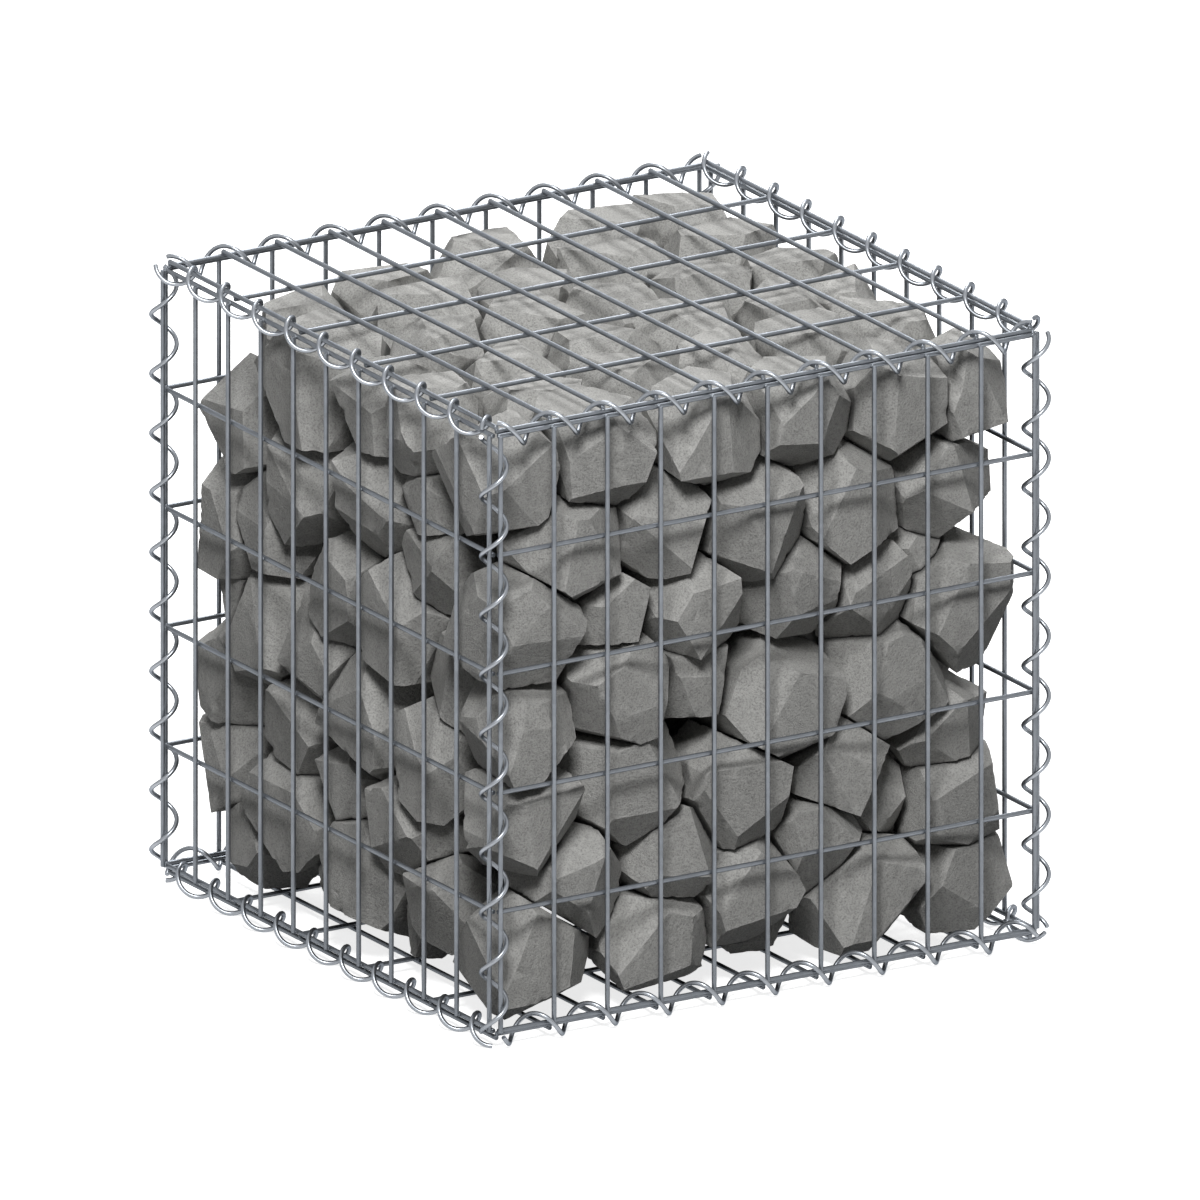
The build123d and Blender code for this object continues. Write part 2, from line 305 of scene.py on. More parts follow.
def add_row(tree, wires, spread, length, height, radius):
    """A row of straight wires along Y, spaced along X, at one height."""
    half = maths(tree, "MULTIPLY", length, 0.5)
    line = add_node(tree, "GeometryNodeCurvePrimitiveLine")
    plug(tree, line.inputs["Start"], vector_of(tree, 0, maths(tree, "MULTIPLY", half, -1.0), 0))
    plug(tree, line.inputs["End"], vector_of(tree, 0, half, 0))
    stops = add_node(tree, "GeometryNodeResampleCurve")
    plug(tree, stops.inputs["Curve"], line.outputs[0])
    plug(tree, stops.inputs["Count"], points_along)
    at_end = add_node(tree, "GeometryNodeCurveEndpointSelection").outputs[0]
    here = add_node(tree, "ShaderNodeSeparateXYZ")
    plug(tree, here.inputs[0], add_node(tree, "GeometryNodeInputPosition").outputs[0])
    from_end = maths(tree, "MULTIPLY", maths(tree, "SUBTRACT", 1.0, at_end), end_bevel)
    which_half = maths(tree, "SIGN", here.outputs["Y"])
    new_y = maths(tree, "MULTIPLY", which_half, maths(tree, "SUBTRACT", half, from_end))
    move = add_node(tree, "GeometryNodeSetPosition")
    plug(tree, move.inputs["Geometry"], stops.outputs[0])
    plug(tree, move.inputs["Position"], vector_of(tree, 0, new_y, 0))
    section = add_node(tree, "GeometryNodeCurvePrimitiveCircle")
    plug(tree, section.inputs["Resolution"], wire_sides)
    plug(tree, section.inputs["Radius"], radius)
    tube = add_node(tree, "GeometryNodeCurveToMesh")
    plug(tree, tube.inputs["Curve"], move.outputs[0])
    plug(tree, tube.inputs["Profile Curve"], section.outputs[0])
    narrowed = maths(tree, "SUBTRACT", 1.0, maths(tree, "MULTIPLY", at_end, end_narrowing))
    plug(tree, tube.inputs["Scale"], narrowed)
    plug(tree, tube.inputs["Fill Caps"], True)
    places = add_node(tree, "GeometryNodeMeshLine")
    plug(tree, places.inputs["Count"], wires)
    first_x = maths(tree, "MULTIPLY", spread, -0.5)
    plug(tree, places.inputs["Start Location"], vector_of(tree, first_x, 0, height))
    pitch = maths(tree, "DIVIDE", spread, maths(tree, "SUBTRACT", wires, 1.0))
    plug(tree, places.inputs["Offset"], vector_of(tree, pitch, 0, 0))
    copies = add_node(tree, "GeometryNodeInstanceOnPoints")
    plug(tree, copies.inputs["Points"], places.outputs[0])
    plug(tree, copies.inputs["Instance"], tube.outputs[0])
    return copies.outputs[0]


print("a wire's sheared end has a bevel of", end_bevel / mm, "mm")

# %% [markdown]
# Every Geometry Nodes tree here ends in the same four steps, so one helper adds them. The
# material comes last, so that it covers everything that was joined.

# %% End a tree
def end_tree(tree, shapes, material, output):
    """Joins the shapes, makes instances real, smooths them and sets the material last."""
    together = add_node(tree, "GeometryNodeJoinGeometry")
    for shape in shapes:
        tree.links.new(shape, together.inputs[0])
    smooth = add_node(tree, "GeometryNodeSetShadeSmooth")
    real = add_node(tree, "GeometryNodeRealizeInstances")
    finish = add_node(tree, "GeometryNodeSetMaterial")
    plug(tree, smooth.inputs[0], together.outputs[0])
    plug(tree, real.inputs[0], smooth.outputs[0])
    plug(tree, finish.inputs["Geometry"], real.outputs[0])
    plug(tree, finish.inputs["Material"], material)
    plug(tree, output, finish.outputs[0])


print("end helper ready")

# %% [markdown]
# The two rows cross at right angles. A grid with as many points as there are crossings
# carries the weld beads, each squashed and of its own size, so that no two look alike.

# %% Cross two rows and put a bead on each crossing
panel, p_in, p_out = new_tree("welded mesh panel", "GeometryNodeTree", {
    "Fine Wires": ("NodeSocketInt", 11), "Wide Wires": ("NodeSocketInt", 6),
    "Across": ("NodeSocketFloat", 0.5), "Up": ("NodeSocketFloat", 0.5),
    "Overhang": ("NodeSocketFloat", 0.0007), "Wire Radius": ("NodeSocketFloat", 0.002),
    "Fine Height": ("NodeSocketFloat", 0.0066), "Wide Height": ("NodeSocketFloat", 0.003),
    "Finish": ("NodeSocketMaterial", None),
}, {"Geometry": ("NodeSocketGeometry", None)})
both_ends = maths(panel, "MULTIPLY", p_in["Overhang"], 2.0)
fine_row = add_row(panel, p_in["Fine Wires"], p_in["Across"], maths(panel, "ADD", p_in["Up"], both_ends),
                   p_in["Fine Height"], p_in["Wire Radius"])
wide_row = add_row(panel, p_in["Wide Wires"], p_in["Up"], maths(panel, "ADD", p_in["Across"], both_ends),
                   p_in["Wide Height"], p_in["Wire Radius"])
quarter_turn = add_node(panel, "GeometryNodeTransform")
plug(panel, quarter_turn.inputs["Geometry"], wide_row)
plug(panel, quarter_turn.inputs["Rotation"], (0, 0, math.pi / 2))
crossings = add_node(panel, "GeometryNodeMeshGrid")
grid_inputs = {"Size X": "Across", "Size Y": "Up", "Vertices X": "Fine Wires", "Vertices Y": "Wide Wires"}
for socket, label in grid_inputs.items():
    plug(panel, crossings.inputs[socket], p_in[label])
weld_height = maths(panel, "MULTIPLY", maths(panel, "ADD", p_in["Fine Height"], p_in["Wide Height"]), 0.5)
lift = add_node(panel, "GeometryNodeTransform")
plug(panel, lift.inputs["Geometry"], crossings.outputs[0])
plug(panel, lift.inputs["Translation"], vector_of(panel, 0, 0, weld_height))
bead = add_node(panel, "GeometryNodeMeshIcoSphere")
plug(panel, bead.inputs["Subdivisions"], 2)
plug(panel, bead.inputs["Radius"], p_in["Wire Radius"])
smallest_bead = (0.82, 0.82, 0.5)
largest_bead = (1.08, 1.08, 0.72)
bead_seed = 4
uneven = add_node(panel, "FunctionNodeRandomValue", data_type="FLOAT_VECTOR")
for socket, value in (("Min", smallest_bead), ("Max", largest_bead), ("Seed", bead_seed)):
    plug(panel, uneven.inputs[socket], value)
welds = add_node(panel, "GeometryNodeInstanceOnPoints")
plug(panel, welds.inputs["Points"], lift.outputs[0])
plug(panel, welds.inputs["Instance"], bead.outputs[0])
plug(panel, welds.inputs["Scale"], uneven.outputs[0])
end_tree(panel, (fine_row, quarter_turn.outputs[0], welds.outputs[0]), p_in["Finish"], p_out["Geometry"])
print("panel tree has", len(panel.nodes), "nodes")

# %% [markdown]
# The real panels are six alike, stood round a cube with their fine wires outside. Each
# is given by the middle of its side, the direction of its width, and the way it faces.

# %% Stand a panel on each side of the basket
def facing(origin, across, out):
    """Puts a flat shape at origin, with its X along across and its Z along out."""
    across, out = Vector(across), Vector(out)
    turned = Matrix((across, out.cross(across), out)).transposed().to_4x4()
    return Matrix.Translation(origin) @ turned


crease_angle = math.radians(40)
panel_faces = {
    "front_panel": ((0, -half_side, middle_z), (1, 0, 0), (0, -1, 0)),
    "back_panel": ((0, half_side, middle_z), (-1, 0, 0), (0, 1, 0)),
    "left_panel": ((-half_side, 0, middle_z), (0, -1, 0), (-1, 0, 0)),
    "right_panel": ((half_side, 0, middle_z), (0, 1, 0), (1, 0, 0)),
    "base_panel": ((0, 0, middle_z - half_side), (1, 0, 0), (0, 0, -1)),
    "lid_panel": ((0, 0, middle_z + half_side), (1, 0, 0), (0, 0, 1)),
}
for node_name, (origin, across, out) in panel_faces.items():
    piece = run_tree(panel, {"Finish": mesh_zinc}, node_name + "_wires", facing(origin, across, out))
    piece.data.set_sharp_from_angle(angle=crease_angle)
    dress(piece, node_name)

# %% [markdown]
# ## The spirals that lace the edges
# Each edge is closed by a spiral of springy wire that is screwed along it, so that every
# turn catches the last wires of two panels. All twelve are wound right-handed, as a
# screw is. A Spiral curve follows the rule exactly, once it is reversed, because by
# itself it winds the other way. A round section is swept along it. Only the place, the
# direction and the starting angle differ. The CAD spiral goes from bend to bend in
# straight runs, and the smooth one stands a little outside those, so its coil is a
# quarter of a millimetre smaller.

# %% Build the spiral tree
spiral, s_in, s_out = new_tree("lacing spiral", "GeometryNodeTree", {
    "Coil Radius": ("NodeSocketFloat", 0.0102), "Turns": ("NodeSocketFloat", 10.0),
    "Length": ("NodeSocketFloat", 0.5), "Wire Radius": ("NodeSocketFloat", 0.00187),
    "Points A Turn": ("NodeSocketInt", 40), "Finish": ("NodeSocketMaterial", None),
}, {"Geometry": ("NodeSocketGeometry", None)})
coil = add_node(spiral, "GeometryNodeCurveSpiral")
coil_inputs = {
    "Resolution": "Points A Turn", "Rotations": "Turns", "Height": "Length",
    "Start Radius": "Coil Radius", "End Radius": "Coil Radius",
}
for socket, label in coil_inputs.items():
    plug(spiral, coil.inputs[socket], s_in[label])
plug(spiral, coil.inputs["Reverse"], True)
spiral_sides = 12
section = add_node(spiral, "GeometryNodeCurvePrimitiveCircle")
plug(spiral, section.inputs["Resolution"], spiral_sides)
plug(spiral, section.inputs["Radius"], s_in["Wire Radius"])
tube = add_node(spiral, "GeometryNodeCurveToMesh")
plug(spiral, tube.inputs["Curve"], coil.outputs[0])
plug(spiral, tube.inputs["Profile Curve"], section.outputs[0])
plug(spiral, tube.inputs["Fill Caps"], True)
end_tree(spiral, (tube.outputs[0],), s_in["Finish"], s_out["Geometry"])
print("spiral tree has", len(spiral.nodes), "nodes")

# %% [markdown]
# Every edge has its own row below: the direction of its run, which side of the basket it
# is on in the next two directions, how far the axis stands off the edge there in mm, and
# the angle in degrees at which the wire starts. Where a spiral shows in the photograph,
# its angle follows that.

# %% Screw a spiral along each edge
edges = {
    "front_top_spiral": ("x", (-1, 1), (2.2, 0.8), 90),
    "back_top_spiral": ("x", (1, 1), (0.4, 0.4), 66),
    "front_bottom_spiral": ("x", (-1, -1), (0.7, 2.2), 184),
    "back_bottom_spiral": ("x", (1, -1), (0.4, 0.4), 295),
    "left_top_spiral": ("y", (1, -1), (2.7, 3.9), 290),
    "right_top_spiral": ("y", (1, 1), (2.5, 4.1), 358),
    "left_bottom_spiral": ("y", (-1, -1), (2.5, 4.1), 179),
    "right_bottom_spiral": ("y", (-1, 1), (2.7, 3.9), 105),
    "front_left_spiral": ("z", (-1, -1), (3.9, 2.7), 149),
    "front_right_spiral": ("z", (1, -1), (4.1, 2.5), 357),
    "back_left_spiral": ("z", (-1, 1), (3.9, 2.7), 58),
    "back_right_spiral": ("z", (1, 1), (4.2, 2.4), 0),
}
axes = {"x": Vector((1, 0, 0)), "y": Vector((0, 1, 0)), "z": Vector((0, 0, 1))}
next_two = {"x": "yz", "y": "zx", "z": "xy"}
for node_name, (run, sides, offsets, start_angle) in edges.items():
    start = middle - axes[run] * half_side
    for name, sign, offset in zip(next_two[run], sides, offsets):
        start = start + axes[name] * sign * (half_side + offset * mm)
    turned_to_start = Matrix.Rotation(math.radians(start_angle), 4, "Z")
    place = facing(start, axes[next_two[run][0]], axes[run]) @ turned_to_start
    piece = run_tree(spiral, {"Finish": spiral_zinc}, node_name + "_wire", place)
    piece.data.set_sharp_from_angle(angle=crease_angle)
    dress(piece, node_name)
    low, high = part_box(node_name)
    outside = max(max(low[i] - v.co[i], v.co[i] - high[i]) for v in piece.data.vertices for i in range(3))
    print("   out of its CAD box by", round(outside / mm, 2), "mm")

# %% [markdown]
# ## Broken stone
# The filling is crushed rock the size of a fist or two. Crushing splits it along flat
# planes, so a stone is a lump with a dozen flat faces, sharp edges that have lost chips,
# and a fine gritty grain. The CAD stones already have the right faces and places. They
# are cut into small triangles here, each face by itself so that its edges stay crisp,
# and then the surface is moved in by noise, a little on the faces and more at the edges.
# Real stones meet only at a few high spots, with dark gaps between them. So each stone
# that shows is also drawn in by a few hundredths, but only sideways, because it rests on
# the stones below it. The ones deep inside keep their full width and block the view.

# %% Read the flat faces of each CAD stone
same_point = 0.05 * mm
same_plane = math.radians(0.6)


def rough_place(one_stone):
    """The middle of a stone to the nearest millimetre, to put the stones in order."""
    corners = one_stone[0]
    return [round(sum(corner[axis] for corner in corners) / len(corners), 3) for axis in range(3)]


def stones_in(node_name):
    """Each stone's corners and faces, from a merged copy of the CAD mesh."""
    rock = bmesh.new()
    rock.from_mesh(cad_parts[node_name].data)
    bmesh.ops.remove_doubles(rock, verts=rock.verts, dist=same_point)
    bmesh.ops.dissolve_limit(rock, angle_limit=same_plane, verts=rock.verts, edges=rock.edges)
    rock.verts.index_update()
    rock.faces.index_update()
    seen = set()
    stones = []
    for face in rock.faces:
        if face.index in seen:
            continue
        seen.add(face.index)
        group = [face]
        for member in group:
            for other in [other for edge in member.edges for other in edge.link_faces]:
                if other.index not in seen:
                    seen.add(other.index)
                    group.append(other)
        numbers = {}
        faces = [[numbers.setdefault(vert, len(numbers)) for vert in member.verts] for member in group]
        stones.append(([vert.co.copy() for vert in numbers], faces))
    rock.free()
    stones.sort(key=rough_place)
    return stones


courses = sorted(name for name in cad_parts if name.startswith("stone_course_"))
filling = {name: stones_in(name) for name in courses}
print("stones in each course:", [len(stones) for stones in filling.values()])

# %% [markdown]
# A broken face is rough all over, so it needs points all over. A subdivision would
# leave long thin triangles. So each edge is divided first, and both of its faces share
# those points. Then a slightly shaken grid of points is laid inside each face, and all of
# them are joined by the triangulation that keeps triangles as even as it can.

# %% Lay points along an edge and inside a face
row_share = 0.87
shake = 0.12
room_at_rim = 0.55


def divide_edge(key, points, spacing):
    """Adds points along an edge, and gives the numbers of all that lie on it."""
    start, end = points[key[0]], points[key[1]]
    steps = max(1, round((end - start).length / spacing))
    run = [key[0], *range(len(points), len(points) + steps - 1), key[1]]
    points += [start.lerp(end, step / steps) for step in range(1, steps)]
    return run


def points_inside(hull, spacing, dice):
    """A shaken grid of points inside a flat face, and how far each is from its edges."""
    (low_x, low_y), (high_x, high_y) = hull.min(0), hull.max(0)
    columns = np.arange(low_x, high_x, spacing)
    rows = np.arange(low_y, high_y, spacing * row_share)
    grid_x, grid_y = np.meshgrid(columns, rows)
    grid_x[1::2] += spacing / 2
    grid = np.stack([grid_x.ravel(), grid_y.ravel()], 1)
    moves = [dice.uniform(-shake, shake) * spacing for _ in range(grid.size)]
    grid += np.array(moves).reshape(grid.shape)
    ahead = np.roll(hull, -1, axis=0) - hull
    inward = np.stack([-ahead[:, 1], ahead[:, 0]], 1) / np.linalg.norm(ahead, axis=1)[:, None]
    depth = ((grid[:, None, :] - hull[None]) * inward[None]).sum(2).min(1)
    inside = depth > spacing * room_at_rim
    return grid[inside], depth[inside]


print("points keep", room_at_rim, "of their spacing from an edge")

# %% Cut one stone into small triangles
edge_reach = 5.5 * mm
triangulation = 1
same_flat_point = 1e-7


def fine_stone(corners, faces, spacing, dice):
    """Points, triangles, closeness to an edge, and the pairs of points along the edges."""
    points = list(corners)
    near_edge = [1.0] * len(points)
    runs = {}
    triangles = []
    for face in faces:
        rim = []
        for first, second in zip(face, face[1:] + face[:1]):
            key = (min(first, second), max(first, second))
            if key not in runs:
                runs[key] = divide_edge(key, points, spacing)
                near_edge += [1.0] * (len(runs[key]) - 2)
            rim += (runs[key] if first < second else runs[key][::-1])[:-1]
        origin = points[face[0]]
        fan = zip(face[1:], face[2:])
        out = sum(((points[b] - origin).cross(points[c] - origin) for b, c in fan), Vector())
        across = (points[face[1]] - origin).normalized()
        up = out.normalized().cross(across)
        flat = np.array([((points[i] - origin).dot(across), (points[i] - origin).dot(up)) for i in rim])
        grid, depth = points_inside(flat[[rim.index(i) for i in face]], spacing, dice)
        numbers = rim + list(range(len(points), len(points) + len(grid)))
        points += [origin + across * x + up * y for x, y in grid]
        near_edge += [max(0.0, 1.0 - d / edge_reach) for d in depth]
        outline = [list(range(len(rim)))]
        flat_points = [Vector(point) for point in (*flat, *grid)]
        cut = delaunay_2d_cdt(flat_points, [], outline, triangulation, same_flat_point)
        triangles += [[numbers[cut[3][corner][0]] for corner in triangle] for triangle in cut[2]]
    creases = [pair for run in runs.values() for pair in zip(run, run[1:])]
    return points, triangles, near_edge, creases


print("wear reaches", edge_reach / mm, "mm in from an edge")

# %% [markdown]
# ## Roughness in the shape
# Two sizes of noise push the surface in: a slow one that leaves the faces gently
# hollow, and a quick one that makes them gritty. Along the edges a third noise bites out
# chips. The surface only ever moves in, so no stone grows into its neighbour. A
# Geometry Nodes tree does this for all the stones of a course at once.

# %% Build the tree that roughens the stones
rough, g_in, g_out = new_tree("broken faces", "GeometryNodeTree", {
    "Geometry": ("NodeSocketGeometry", None),
    "Hollow Depth": ("NodeSocketFloat", 0.0003), "Grit Depth": ("NodeSocketFloat", 0.0006),
    "Chip Depth": ("NodeSocketFloat", 0.0020), "Finish": ("NodeSocketMaterial", None),
}, {"Geometry": ("NodeSocketGeometry", None)})
hollows_a_metre = 38.0
stone_grit_a_metre = 170.0
chips_a_metre = 85.0
here = add_node(rough, "GeometryNodeInputPosition").outputs[0]
near = add_node(rough, "GeometryNodeInputNamedAttribute", data_type="FLOAT")
plug(rough, near.inputs["Name"], "near_edge")
hollows = maths(rough, "MULTIPLY", add_noise(rough, here, hollows_a_metre), g_in["Hollow Depth"])
grit_noise = add_noise(rough, here, stone_grit_a_metre, detail=3.0, roughness=0.6)
depth = maths(rough, "MULTIPLY_ADD", grit_noise, g_in["Grit Depth"], hollows)
bites = contrast(rough, add_noise(rough, here, chips_a_metre, detail=3.0, roughness=0.6), 7.0, -3.85)
bitten = maths(rough, "MULTIPLY", bites, maths(rough, "POWER", near.outputs[0], 2.0))
depth = maths(rough, "MULTIPLY_ADD", bitten, g_in["Chip Depth"], depth)
inward = add_node(rough, "ShaderNodeVectorMath", operation="SCALE")
plug(rough, inward.inputs[0], add_node(rough, "GeometryNodeInputNormal").outputs[0])
plug(rough, inward.inputs["Scale"], maths(rough, "MULTIPLY", depth, -1.0))
move = add_node(rough, "GeometryNodeSetPosition")
plug(rough, move.inputs["Geometry"], g_in["Geometry"])
plug(rough, move.inputs["Offset"], inward.outputs[0])
end_tree(rough, (move.outputs[0],), g_in["Finish"], g_out["Geometry"])
print("roughening tree has", len(rough.nodes), "nodes")

# %% [markdown]
# ## The look of the stone
# The rock is a plain warm grey, matt, with a fine grain of darker specks, soft mottling,
# short faint streaks where the bedding shows, and pale edges that are partly dust where
# they are bruised and partly a painted highlight where a rounded edge would catch light.
# Painted shade darkens the narrow gaps where one stone lies against the next. A picture of
# rock could be wrapped round each stone, but it would stretch at the edges, so the pattern
# is made of noise that fills space. Each stone has its own tone and its own direction of
# streaks, kept on its points as attributes, so that neighbours never match.

# %% Build the stone grain group
stone, t_in, t_out = new_tree("stone grain", "ShaderNodeTree", {
    "Rock": ("NodeSocketColor", (0.40, 0.397, 0.383, 1)),
    "Dark Speck": ("NodeSocketColor", (0.13, 0.129, 0.124, 1)),
    # the pale edge colour, partly dust and partly a painted highlight
    "Dust And Edge Highlight": ("NodeSocketColor", (0.50, 0.495, 0.48, 1)),
    "Tone": ("NodeSocketFloat", 0.5), "Streak Turn": ("NodeSocketFloat", 0.0),
    # the gap input carries painted shade: how much a point is darkened for lying close to the next stone
    "Near Edge": ("NodeSocketFloat", 0.0), "Painted Gap Shade": ("NodeSocketFloat", 0.0),
}, {
    "Base Color": ("NodeSocketColor", None),
    "Roughness": ("NodeSocketFloat", None),
    "Bump Height": ("NodeSocketFloat", None),
})
streak_axis = (0.4, 0.75, 0.53)
streak_stretch = (1.0, 1.0, 3.0)
streaks_a_metre = 120.0
mottle_a_metre = 75.0
grain_a_metre = 650.0
pits_a_metre = 1100.0
here = add_node(stone, "ShaderNodeTexCoord").outputs["Object"]
turned = add_node(stone, "ShaderNodeVectorRotate", rotation_type="AXIS_ANGLE")
plug(stone, turned.inputs["Vector"], here)
plug(stone, turned.inputs["Axis"], streak_axis)
plug(stone, turned.inputs["Angle"], t_in["Streak Turn"])
stretched = add_node(stone, "ShaderNodeMapping")
plug(stone, stretched.inputs["Vector"], turned.outputs[0])
plug(stone, stretched.inputs["Scale"], streak_stretch)
bedding = stretched.outputs[0]
streaks = add_noise(stone, bedding, streaks_a_metre, detail=3.0, roughness=0.6, distortion=0.6)
mottle = add_noise(stone, here, mottle_a_metre, detail=4.0, roughness=0.6)
grain = add_noise(stone, here, grain_a_metre, detail=3.0, roughness=0.7)
pits = add_noise(stone, here, pits_a_metre, detail=2.0, roughness=0.6)
print("stone grain group started with", len(stone.nodes), "nodes")

# %% [markdown]
# The noises are added up to one brightness, which lightens or darkens the rock, and painted
# shade darkens it where a point lies close to the next stone. Specks and the pale edges,
# which are partly dust and partly a painted highlight, are mixed in by their own shares, and
# the finest noises also give the height for the bump, so that what looks dark is also a
# little lower.

# %% Mix the stone's colour, roughness and height
speck_share = 0.55
dust_and_highlight_share = 0.55
streak_strength = 0.45
mottle_strength = 0.42
plain_brightness = 0.56
darkest_painted_shade = 0.65
specks = maths(stone, "MULTIPLY", contrast(stone, grain, -5.0, 2.75), speck_share)
tone_shift = maths(stone, "MULTIPLY_ADD", t_in["Tone"], 0.16, 0.92)
mottled = maths(stone, "MULTIPLY", mottle, mottle_strength)
slow = maths(stone, "ADD", maths(stone, "MULTIPLY", streaks, streak_strength), mottled)
brightness = maths(stone, "MULTIPLY", tone_shift, maths(stone, "ADD", slow, plain_brightness))
# Painted shade: the rock is darkened, by up to the darkest share, where a point lies close to the next
# stone, standing in for the shade in the gaps.
gap_shade = maths(stone, "POWER", t_in["Painted Gap Shade"], 1.6)
brightness = maths(stone, "MULTIPLY", brightness, maths(stone, "MULTIPLY_ADD", gap_shade, -darkest_painted_shade, 1.0))
ground = mix_colour(stone, specks, t_in["Rock"], t_in["Dark Speck"])
shaded = add_node(stone, "ShaderNodeVectorMath", operation="SCALE")
plug(stone, shaded.inputs[0], ground)
plug(stone, shaded.inputs["Scale"], brightness)
# Pale edges: near the edges the rock is lightened in patches, partly as dust on bruised edges and partly
# as a painted highlight where a rounded edge would catch light, but not where the gap shade is painted.
at_edge = maths(stone, "POWER", t_in["Near Edge"], 4.0)
bruise_and_edge_highlight = maths(stone, "MULTIPLY", at_edge, contrast(stone, mottle, 3.0, -1.1))
bruise_and_edge_highlight = maths(stone, "MULTIPLY", bruise_and_edge_highlight, maths(stone, "SUBTRACT", 1.0, t_in["Painted Gap Shade"]))
dust_and_highlight_mix = maths(stone, "MULTIPLY", bruise_and_edge_highlight, dust_and_highlight_share)
plug(stone, t_out["Base Color"], mix_colour(stone, dust_and_highlight_mix, shaded.outputs[0], t_in["Dust And Edge Highlight"]))
plug(stone, t_out["Roughness"], maths(stone, "MULTIPLY_ADD", mottle, 0.16, 0.80))
fine_height = maths(stone, "MULTIPLY_ADD", pits, 0.35, grain)
plug(stone, t_out["Bump Height"], maths(stone, "MULTIPLY_ADD", streaks, 0.7, fine_height))
print("stone grain group has", len(stone.nodes), "nodes")

# %% [markdown]
# The material reads each stone's own values from attributes on its points. They stay
# with the mesh, so that the pattern is the same wherever the basket goes.

# %% Make the stone material
stone_bump = 0.8 * mm
rock_face = make_material("broken stone", stone, {}, stone_bump, {"Specular IOR Level": 0.25})
surface = next(node for node in rock_face.node_tree.nodes if node.type == "GROUP")
attributes = {
    "Tone": "stone_tone", "Streak Turn": "streak_turn",
    # the gap attribute holds painted shade, darker where a point lies close to the next stone
    "Near Edge": "near_edge", "Painted Gap Shade": "painted_gap_shade",
}
for label, attribute in attributes.items():
    reader = add_node(rock_face.node_tree, "ShaderNodeAttribute", attribute_name=attribute)
    plug(rock_face.node_tree, surface.inputs[label], reader.outputs["Fac"])
print("stone material:", rock_face.name)

# %% [markdown]
# The shade in the gaps is painted into the stone's colour. It could be painted by hand,
# but it is quicker and surer to measure, for every point of a stone, how far it is to the
# faces of the stones round it.

# %% Find how close each point lies to the next stone
gap_reach = 5 * mm
neighbour_reach = 0.15
every_stone = [one_stone for stones in filling.values() for one_stone in stones]


def centre_of(corners):
    return sum(corners, Vector()) / len(corners)


def neighbours_of(one_stone):
    """A search tree of the faces of all the stones round this one."""
    points, faces = [], []
    for other in every_stone:
        apart = (centre_of(other[0]) - centre_of(one_stone[0])).length
        if other is not one_stone and apart < neighbour_reach:
            faces += [[index + len(points) for index in face] for face in other[1]]
            points += other[0]
    return BVHTree.FromPolygons(points, faces)


def closeness(tree, point):
    """1 where a point touches the next stone, falling to 0 at gap_reach from it."""
    gap = tree.find_nearest(point, gap_reach)[3]
    return 0.0 if gap is None else 1.0 - gap / gap_reach


print("gaps are dark up to", gap_reach / mm, "mm wide")

# %% [markdown]
# A course is made from its stones, one after another. The stones that show get points
# every few millimetres, and those deep inside only a few, because nothing shows them. The
# edges of the CAD faces are marked sharp, so that smooth shading stops there.

# %% Helpers for a course of stones
outer_spacing = 3.8 * mm
hidden_spacing = 16 * mm
seen_depth = 85 * mm
drawn_in = 0.028
first_seed = 70


def is_hidden(corners):
    """True for a stone so deep in the basket that nothing shows it."""
    return max(abs(value) for value in centre_of(corners) - middle) < half_side - seen_depth


def mesh_of(name, points, triangles, creases, marks):
    """A mesh with a value for each mark on every point, and with its creases sharp."""
    mesh = bpy.data.meshes.new(name)
    mesh.from_pydata(points, [], triangles)
    for label, values in marks.items():
        mesh.attributes.new(label, "FLOAT", "POINT").data.foreach_set("value", values)
    ends = np.empty(len(mesh.edges) * 2, np.int64)
    mesh.edges.foreach_get("vertices", ends)
    keys = np.sort(ends.reshape(-1, 2), axis=1) @ (len(points), 1)
    wanted = np.sort(np.array(creases), axis=1) @ (len(points), 1)
    sharp = mesh.attributes.new("sharp_edge", "BOOLEAN", "EDGE")
    sharp.data.foreach_set("value", np.isin(keys, wanted))
    return mesh


print("stones that show are drawn in by", drawn_in)

# %% Make every course of stones
for number, (node_name, stones) in enumerate(filling.items()):
    dice = Random(first_seed + number)
    points, triangles, creases = [], [], []
    # the gap mark is painted shade for the stone's colour
    marks = {"near_edge": [], "stone_tone": [], "streak_turn": [], "painted_gap_shade": []}
    for one_stone in stones:
        corners, faces = one_stone
        spacing = hidden_spacing if is_hidden(corners) else outer_spacing
        new_points, new_triangles, near_edge, new_creases = fine_stone(corners, faces, spacing, dice)
        first = len(points)
        centre = centre_of(corners)
        share = 0 if is_hidden(corners) else drawn_in
        sideways = Vector((share, share, 0))
        points += [point + (centre - point) * sideways for point in new_points]
        triangles += [[index + first for index in triangle] for triangle in new_triangles]
        creases += [[index + first for index in pair] for pair in new_creases]
        marks["near_edge"] += near_edge
        around = neighbours_of(one_stone)
        # Painted shade: the closer a point lies to the next stone, the darker its colour is painted.
        marks["painted_gap_shade"] += [closeness(around, point) for point in new_points]
        marks["stone_tone"] += [dice.random()] * len(new_points)
        marks["streak_turn"] += [dice.uniform(0, 2 * math.pi)] * len(new_points)
    start = mesh_of(node_name + "_start", points, triangles, creases, marks)
    piece = run_tree(rough, {"Finish": rock_face}, node_name + "_rocks", start_mesh=start)
    dress(piece, node_name)

# %% [markdown]
# ## The studio
# The photograph has a plain white ground with a faint shadow. The floor could be a real
# white one, but it would throw so much light back up that the undersides of the stones,
# which are dark in the photograph, would go pale. So the floor and the world are white
# for the camera and for reflections, and a dark grey for the light that they send out.

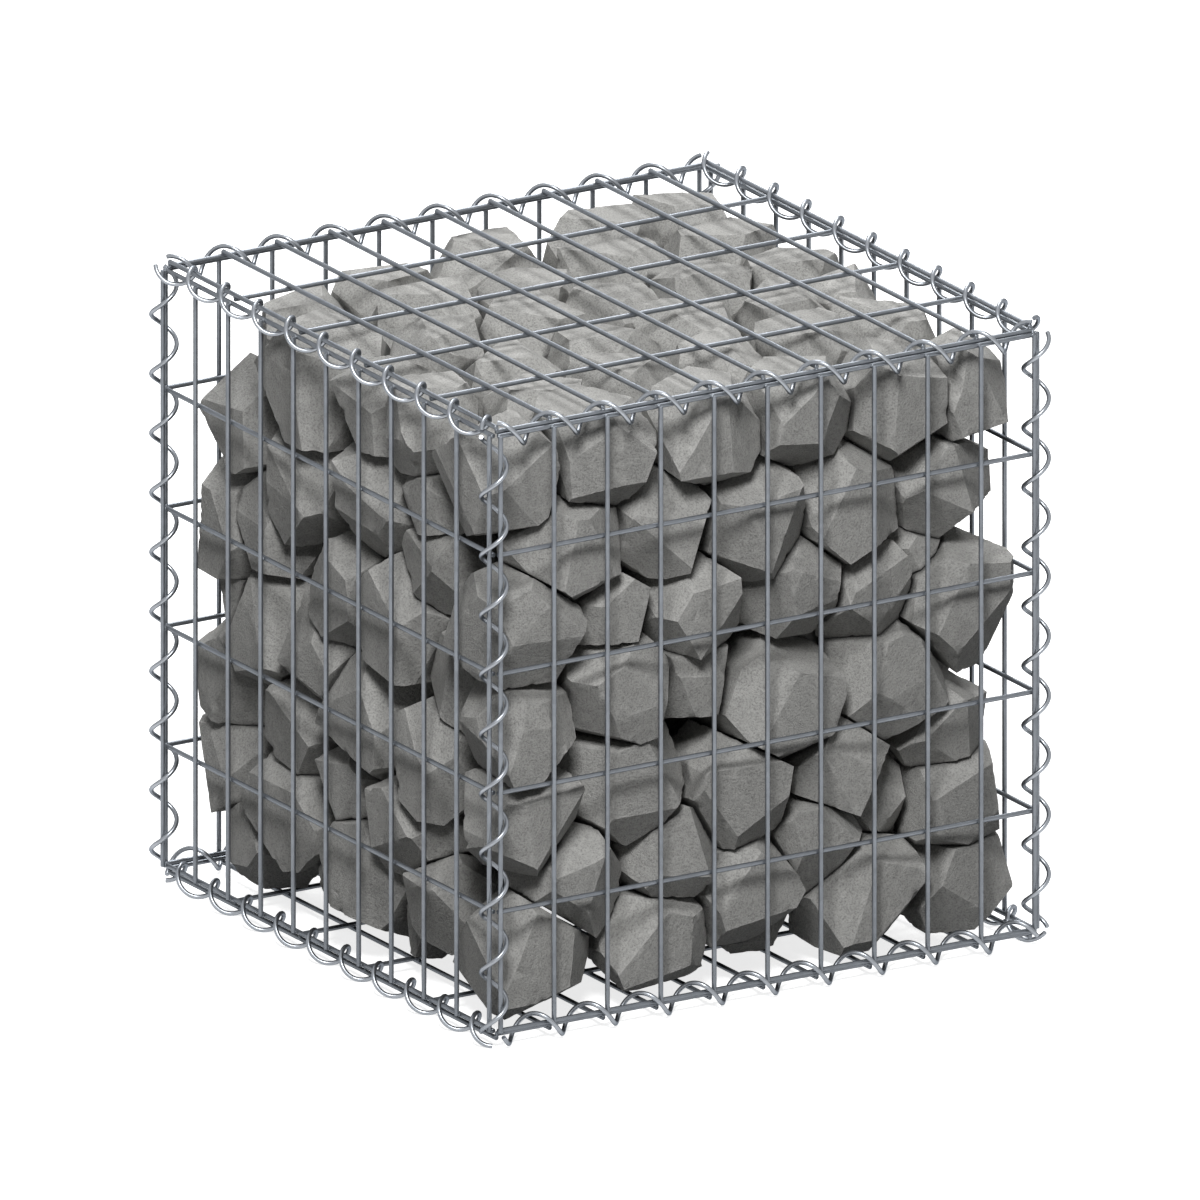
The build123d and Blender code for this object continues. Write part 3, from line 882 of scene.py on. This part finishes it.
# %% Make the floor
def white_for_camera(tree, plain_shader, white_shader):
    ray = add_node(tree, "ShaderNodeLightPath")
    seen = maths(tree, "MAXIMUM", ray.outputs["Is Camera Ray"], ray.outputs["Is Glossy Ray"])
    seen = maths(tree, "MAXIMUM", seen, ray.outputs["Is Transmission Ray"])
    choice = add_node(tree, "ShaderNodeMixShader")
    for socket, value in zip(choice.inputs, (seen, plain_shader, white_shader)):
        plug(tree, socket, value)
    return choice.outputs[0]


reach = 12.0
floor_drop = 0.2 * mm
signs = ((-1, -1), (1, -1), (1, 1), (-1, 1))
floor_corners = [(x * reach, y * reach, -floor_drop) for x, y in signs]
floor_mesh = bpy.data.meshes.new("floor")
floor_mesh.from_pydata(floor_corners, [], [(0, 1, 2, 3)])
floor = bpy.data.objects.new("floor", floor_mesh)
bpy.context.scene.collection.objects.link(floor)
floor_paint = bpy.data.materials.new("floor paint")
floor_paint.use_nodes = True
paint = floor_paint.node_tree
paint.nodes.clear()
bounce_grey = (0.10, 0.10, 0.10, 1)
grey = add_node(paint, "ShaderNodeBsdfDiffuse")
plug(paint, grey.inputs["Color"], bounce_grey)
paper_white = (0.9, 0.9, 0.9, 1)
white = add_node(paint, "ShaderNodeBsdfDiffuse")
plug(paint, white.inputs["Color"], paper_white)
glow_strength = 0.78
glow = add_node(paint, "ShaderNodeEmission")
plug(paint, glow.inputs["Strength"], glow_strength)
lit_white = add_node(paint, "ShaderNodeAddShader")
plug(paint, lit_white.inputs[0], white.outputs[0])
plug(paint, lit_white.inputs[1], glow.outputs[0])
floor_look = white_for_camera(paint, grey.outputs[0], lit_white.outputs[0])
plug(paint, add_node(paint, "ShaderNodeOutputMaterial").inputs[0], floor_look)
floor_mesh.materials.append(floor_paint)
print("floor", 2 * reach, "m square")

# %% [markdown]
# Three square lamps and a dim dome light the basket. The key lamp stands in front and to
# the left, high up, so that faces that look up are bright and those that look down are
# dark. The large lamp lights the tops from behind. The small one behind the basket puts a
# thin line of light along the wires of the lid.

# %% Light it softly
dome_grey = (0.12, 0.12, 0.12, 1)
world = bpy.data.worlds.new("studio")
bpy.context.scene.world = world
world.use_nodes = True
sky = world.node_tree
sky.nodes.clear()
dome = add_node(sky, "ShaderNodeBackground")
plug(sky, dome.inputs["Color"], dome_grey)
backdrop = add_node(sky, "ShaderNodeBackground")
plug(sky, backdrop.inputs["Color"], (1, 1, 1, 1))
sky_look = white_for_camera(sky, dome.outputs[0], backdrop.outputs[0])
plug(sky, add_node(sky, "ShaderNodeOutputWorld").inputs[0], sky_look)


def add_lamp(name, place, size, watts):
    lamp = bpy.data.objects.new(name, bpy.data.lights.new(name, "AREA"))
    lamp.data.size = size
    lamp.data.energy = watts
    lamp.location = Vector(place)
    lamp.rotation_mode = "QUATERNION"
    lamp.rotation_quaternion = (middle - lamp.location).to_track_quat("-Z", "Y")
    bpy.context.scene.collection.objects.link(lamp)


add_lamp("top softbox", (1.0, 1.3, 2.9), 1.7, 62)
add_lamp("rim softbox", (1.3, 2.1, 2.3), 0.9, 25)
add_lamp("key softbox", (-1.5, -2.15, 2.8), 0.9, 114)
bpy.context.scene.view_settings.view_transform = "Standard"
